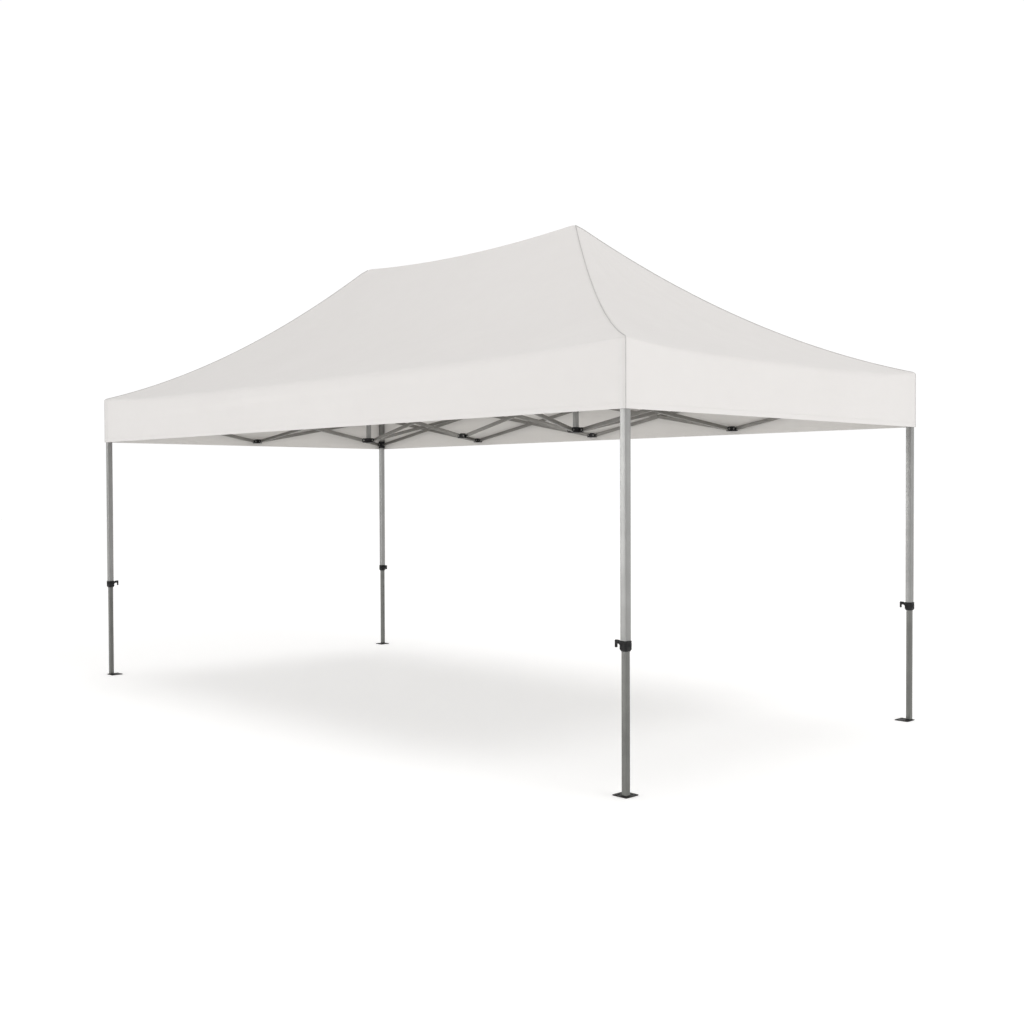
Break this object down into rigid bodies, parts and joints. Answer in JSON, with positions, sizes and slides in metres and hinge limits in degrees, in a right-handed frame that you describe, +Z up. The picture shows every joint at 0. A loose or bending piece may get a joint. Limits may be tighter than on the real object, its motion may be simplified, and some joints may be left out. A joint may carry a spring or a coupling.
{
  "type": "marquee tent",
  "caption": "Folding marquee with a hipped cloth roof on two peaks, a valance all round, telescopic legs and scissor trusses.",
  "frame": {"origin": "on the ground, under the middle of the tent", "axes": "+Z up, X along the long sides with +X to the right end, -Y to the front long side"},
  "size_m": [5.936, 3.016, 3.4498],
  "materials": {
    "white_cloth": "matt coated polyester",
    "grey_alloy": "dull anodised",
    "black_plastic": "moulded satin",
    "black_steel": "powder coated"
  },
  "bodies": {
    "frame": {"roof_panel_front": "white_cloth", "roof_panel_back": "white_cloth", "roof_panel_right": "white_cloth", "roof_panel_left": "white_cloth", "valance_front": "white_cloth", "valance_back": "white_cloth", "valance_right": "white_cloth", "valance_left": "white_cloth", "side_truss_front": "grey_alloy", "side_truss_back": "grey_alloy", "side_truss_right": "grey_alloy", "side_truss_left": "grey_alloy", "inner_truss_right": "grey_alloy", "inner_truss_left": "grey_alloy", "inner_truss_middle": "grey_alloy", "centre_post_right": "grey_alloy", "centre_post_left": "grey_alloy", "upper_leg_front_left": "grey_alloy", "upper_leg_front_right": "grey_alloy", "upper_leg_back_right": "grey_alloy", "upper_leg_back_left": "grey_alloy", "peak_cap_right": "black_plastic", "peak_cap_left": "black_plastic", "leg_top_bracket_front_left": "black_plastic", "leg_slider_front_left": "black_plastic", "leg_lock_front_left": "black_plastic", "leg_top_bracket_front_right": "black_plastic", "leg_slider_front_right": "black_plastic", "leg_lock_front_right": "black_plastic", "leg_top_bracket_back_right": "black_plastic", "leg_slider_back_right": "black_plastic", "leg_lock_back_right": "black_plastic", "leg_top_bracket_back_left": "black_plastic", "leg_slider_back_left": "black_plastic", "leg_lock_back_left": "black_plastic"},
    "leg_foot_front_left": {"lower_leg_front_left": "grey_alloy", "foot_plate_front_left": "black_steel"},
    "lever_front_left": {"lock_lever_front_left": "black_plastic"},
    "leg_foot_front_right": {"lower_leg_front_right": "grey_alloy", "foot_plate_front_right": "black_steel"},
    "lever_front_right": {"lock_lever_front_right": "black_plastic"},
    "leg_foot_back_right": {"lower_leg_back_right": "grey_alloy", "foot_plate_back_right": "black_steel"},
    "lever_back_right": {"lock_lever_back_right": "black_plastic"},
    "leg_foot_back_left": {"lower_leg_back_left": "grey_alloy", "foot_plate_back_left": "black_steel"},
    "lever_back_left": {"lock_lever_back_left": "black_plastic"}
  },
  "joints": [
    {"name": "leg_slide_front_left", "type": "slide", "parent": "frame", "child": "leg_foot_front_left", "axis": [0, 0, 1], "range_m": [0, 0.7]},
    {"name": "lever_hinge_front_left", "type": "hinge", "parent": "frame", "child": "lever_front_left", "pos_m": [-2.94, -1.442, 0.8], "axis": [1, 0, 0], "range_deg": [0, 30], "stiffness_Nm_per_rad": 0.6},
    {"name": "leg_slide_front_right", "type": "slide", "parent": "frame", "child": "leg_foot_front_right", "axis": [0, 0, 1], "range_m": [0, 0.7]},
    {"name": "lever_hinge_front_right", "type": "hinge", "parent": "frame", "child": "lever_front_right", "pos_m": [2.902, -1.48, 0.8], "axis": [0, 1, 0], "range_deg": [0, 30], "stiffness_Nm_per_rad": 0.6},
    {"name": "leg_slide_back_right", "type": "slide", "parent": "frame", "child": "leg_foot_back_right", "axis": [0, 0, 1], "range_m": [0, 0.7]},
    {"name": "lever_hinge_back_right", "type": "hinge", "parent": "frame", "child": "lever_back_right", "pos_m": [2.902, 1.48, 0.8], "axis": [0, 1, 0], "range_deg": [0, 30], "stiffness_Nm_per_rad": 0.6},
    {"name": "leg_slide_back_left", "type": "slide", "parent": "frame", "child": "leg_foot_back_left", "axis": [0, 0, 1], "range_m": [0, 0.7]},
    {"name": "lever_hinge_back_left", "type": "hinge", "parent": "frame", "child": "lever_back_left", "pos_m": [-2.902, 1.48, 0.8], "axis": [0, -1, 0], "range_deg": [0, 30], "stiffness_Nm_per_rad": 0.6}
  ]
}
